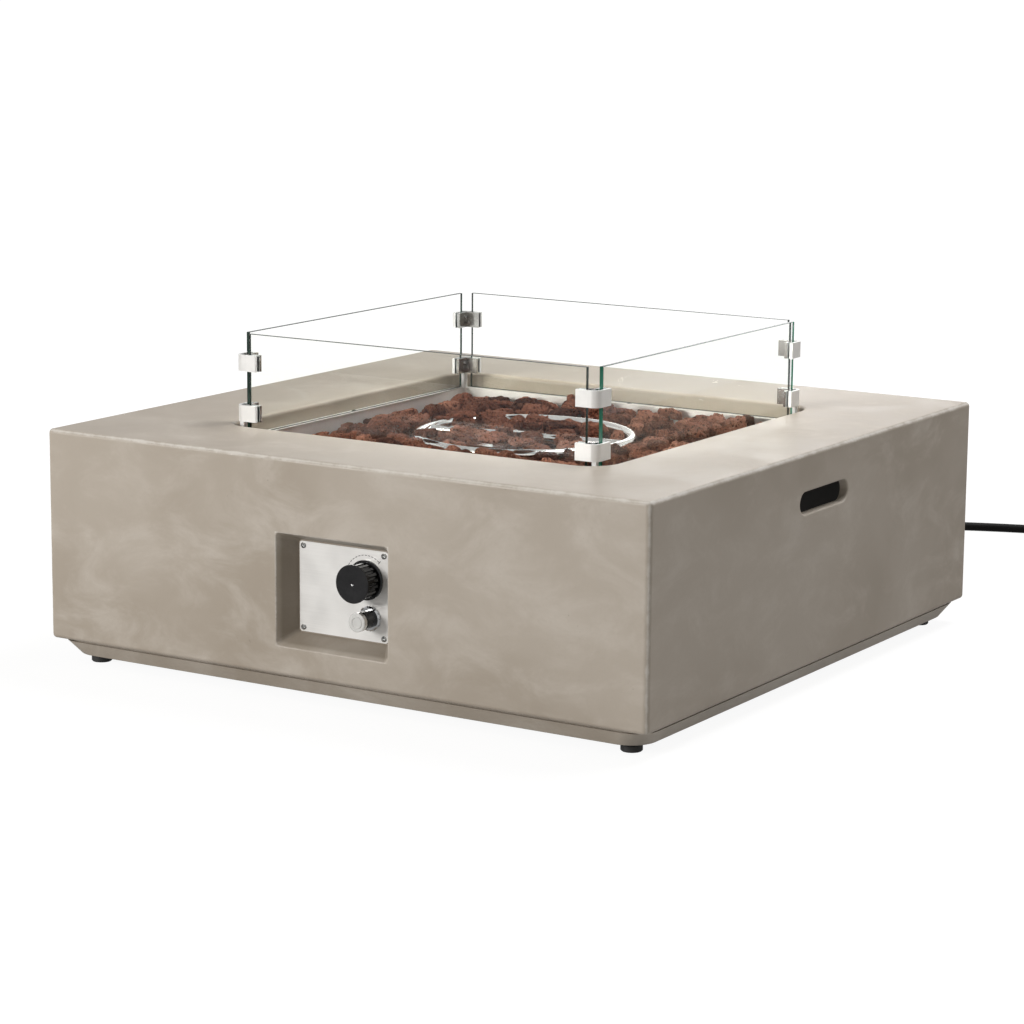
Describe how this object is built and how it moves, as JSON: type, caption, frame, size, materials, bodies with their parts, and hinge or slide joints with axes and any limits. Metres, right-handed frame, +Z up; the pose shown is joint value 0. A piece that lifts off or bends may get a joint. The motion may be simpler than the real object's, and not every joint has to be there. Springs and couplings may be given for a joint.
{
  "type": "fire pit table",
  "caption": "Square concrete-look gas fire pit table with lava rocks, a ring burner, a glass wind guard and a recessed control panel.",
  "frame": {"origin": "on the ground under the centre of the table, at the bottom of its four feet", "axes": "+Z up, the control recess faces -Y, +X is the side with the hand hole on the viewer's right"},
  "size_m": [1.1319, 1.9276, 0.4795],
  "materials": {
    "concrete": "cast fibre concrete, warm grey, satin sealed",
    "painted_steel": "black powder coat",
    "stainless": "satin stainless",
    "polished": "polished",
    "zinc": "zinc plated",
    "brass": "machined",
    "aluminium": "die cast",
    "foot_plastic": "moulded, black",
    "knob_plastic": "moulded, black",
    "cap_plastic": "metallised, silver",
    "lava": "porous lava rock, red brown",
    "glass": "tempered, clear",
    "clear_rubber": "clear soft pad",
    "ceramic": "glazed white",
    "hose_rubber": "smooth black",
    "lead_jacket": "black jacket",
    "grey_paint": "grey enamel",
    "black_nut": "moulded, black"
  },
  "bodies": {
    "table": {"case_shell": "concrete", "base_frame": "painted_steel", "frame_screws": "zinc", "burner_pan": "stainless", "pan_screws": "stainless", "burner_ring": "polished", "burner_locknut": "brass", "burner_elbow": "brass", "heat_shield": "zinc", "flame_hood": "stainless", "spark_electrode": "ceramic", "flame_sensor": "stainless", "lava_rocks": "lava", "control_plate": "stainless", "control_plate_screws": "stainless", "knob_bezel": "knob_plastic", "gas_valve_body": "aluminium", "igniter_barrel": "knob_plastic", "igniter_bezel": "polished", "igniter_nut": "zinc", "igniter_battery": "painted_steel", "feed_pipe": "aluminium", "burner_line": "stainless", "spark_lead": "lead_jacket", "sensor_lead": "lead_jacket", "inlet_bulkhead": "brass", "bulkhead_nut": "brass", "hose_nut": "brass", "hose_ferrule": "zinc", "gas_hose": "hose_rubber", "gas_hose_coil": "hose_rubber", "regulator_ferrule": "zinc", "regulator_body": "grey_paint", "regulator_cover": "grey_paint"},
    "wind_guard": {"glass_pane_front": "glass", "glass_pane_right": "glass", "glass_pane_back": "glass", "glass_pane_left": "glass", "upper_clip_plates": "polished", "lower_clip_plates": "polished", "clip_screws": "stainless", "clip_seals": "clear_rubber", "upper_clip_back_right": "polished", "lower_clip_back_right": "polished", "upper_clip_back_left": "polished", "lower_clip_back_left": "polished", "upper_clip_front_left": "polished", "lower_clip_front_left": "polished", "upper_clip_front_right": "polished", "lower_clip_front_right": "polished"},
    "valve_rotor": {"valve_plug": "brass"},
    "knob": {"control_knob": "knob_plastic", "valve_spindle": "brass"},
    "igniter_button": {"igniter_cap": "cap_plastic", "igniter_plunger": "knob_plastic"},
    "coupling": {"coupling_nut": "black_nut"},
    "foot_back_right": {"levelling_foot_back_right": "foot_plastic"},
    "foot_back_left": {"levelling_foot_back_left": "foot_plastic"},
    "foot_front_left": {"levelling_foot_front_left": "foot_plastic"},
    "foot_front_right": {"levelling_foot_front_right": "foot_plastic"}
  },
  "joints": [
    {"name": "foot_back_right_level", "type": "slide", "parent": "table", "child": "foot_back_right", "axis": [0, 0, -1], "range_m": [0, 0.01]},
    {"name": "foot_back_left_level", "type": "slide", "parent": "table", "child": "foot_back_left", "axis": [0, 0, -1], "range_m": [0, 0.01]},
    {"name": "foot_front_left_level", "type": "slide", "parent": "table", "child": "foot_front_left", "axis": [0, 0, -1], "range_m": [0, 0.01]},
    {"name": "foot_front_right_level", "type": "slide", "parent": "table", "child": "foot_front_right", "axis": [0, 0, -1], "range_m": [0, 0.01]},
    {"name": "wind_guard_lift", "type": "slide", "parent": "table", "child": "wind_guard", "axis": [0, 0, 1], "range_m": [0, 0.2]},
    {"name": "gas_valve_turn", "type": "hinge", "parent": "table", "child": "valve_rotor", "pos_m": [0.038, -0.47, 0.184], "axis": [0, -1, 0], "range_deg": [0, 180]},
    {"name": "knob_push", "type": "slide", "parent": "valve_rotor", "child": "knob", "axis": [0, 1, 0], "range_m": [0, 0.003], "stiffness_N_per_m": 1200, "springref_m": -0.003},
    {"name": "igniter_push", "type": "slide", "parent": "table", "child": "igniter_button", "axis": [0, 1, 0], "range_m": [0, 0.004], "stiffness_N_per_m": 1000, "springref_m": -0.003},
    {"name": "coupling_spin", "type": "hinge", "parent": "table", "child": "coupling", "pos_m": [0.61517, 1.26513, 0.0234], "axis": [0.9894, 0.1452, 0], "continuous": true}
  ]
}
